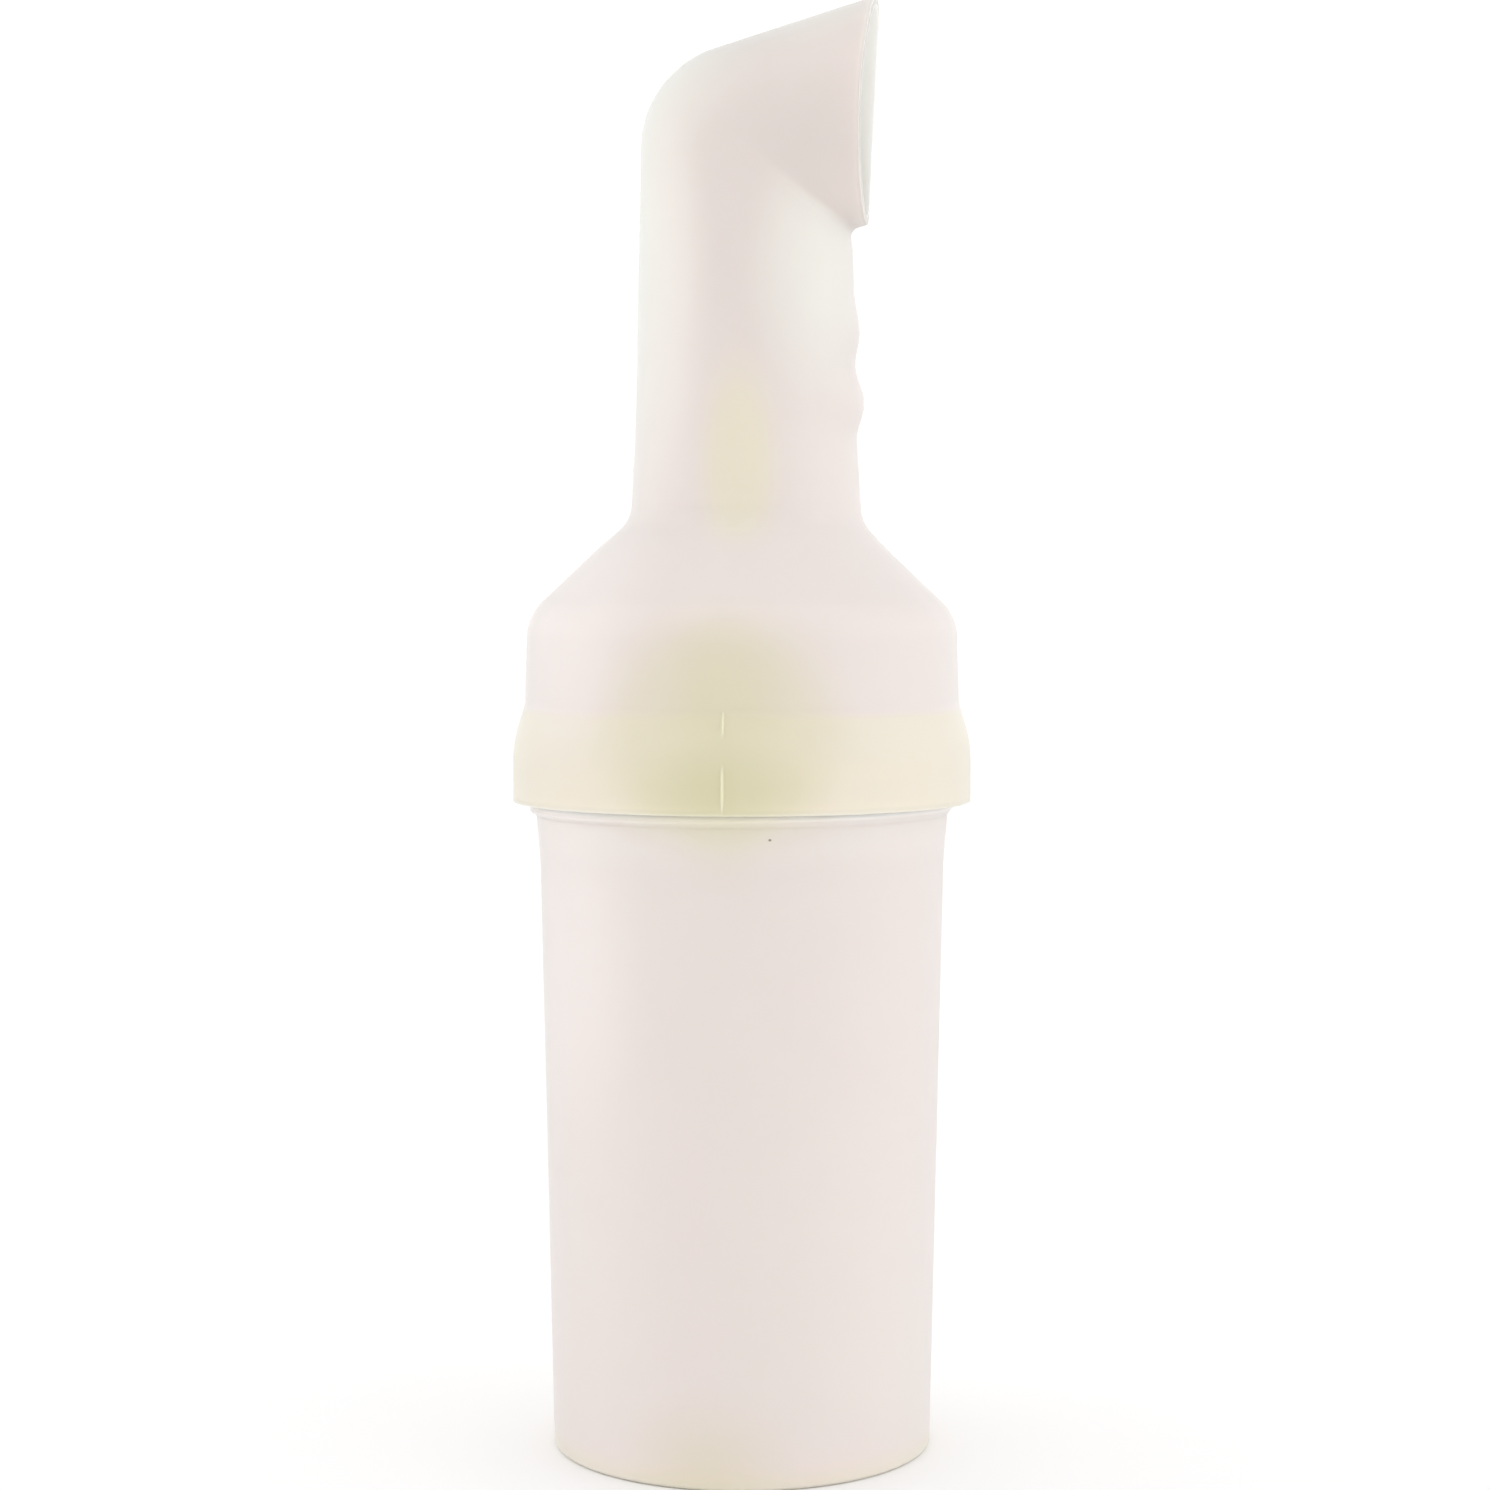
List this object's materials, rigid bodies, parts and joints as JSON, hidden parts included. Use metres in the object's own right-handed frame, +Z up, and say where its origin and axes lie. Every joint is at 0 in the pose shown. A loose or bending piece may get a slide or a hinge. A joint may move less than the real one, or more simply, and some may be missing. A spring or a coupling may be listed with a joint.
{
  "type": "two-part spouted bottle",
  "caption": "Translucent two-part plastic bottle: a tapered cup screwed up into a collared top with a cone shoulder, a finger-grip neck and a slant-cut side spout.",
  "frame": {"origin": "centre of the cup's foot, on the surface the bottle stands on", "axes": "+Z up along the cup's axis, +X towards the mouth of the spout, -Y towards the side that the picture shows"},
  "size_m": [0.111, 0.1114, 0.35],
  "materials": {
    "bottle_plastic": "natural translucent polyethylene, waxy satin",
    "seal_rubber": "matte pale elastomer"
  },
  "bodies": {
    "cup_body": {"cup": "bottle_plastic"},
    "seal_body": {"seal_ring": "seal_rubber"},
    "top_body": {"spout_top": "bottle_plastic"}
  },
  "joints": [
    {"name": "top_rise", "type": "slide", "parent": "cup_body", "child": "seal_body", "axis": [0, 0, 1], "range_m": [0, 0.02]},
    {"name": "top_twist", "type": "hinge", "parent": "seal_body", "child": "top_body", "pos_m": [0, 0, 0.1573], "axis": [0, 0, 1], "range_deg": [0, 900]}
  ],
  "couplings": [
    {"joint": "top_rise", "follows": "top_twist", "m_per_rad": 0.0012732}
  ]
}
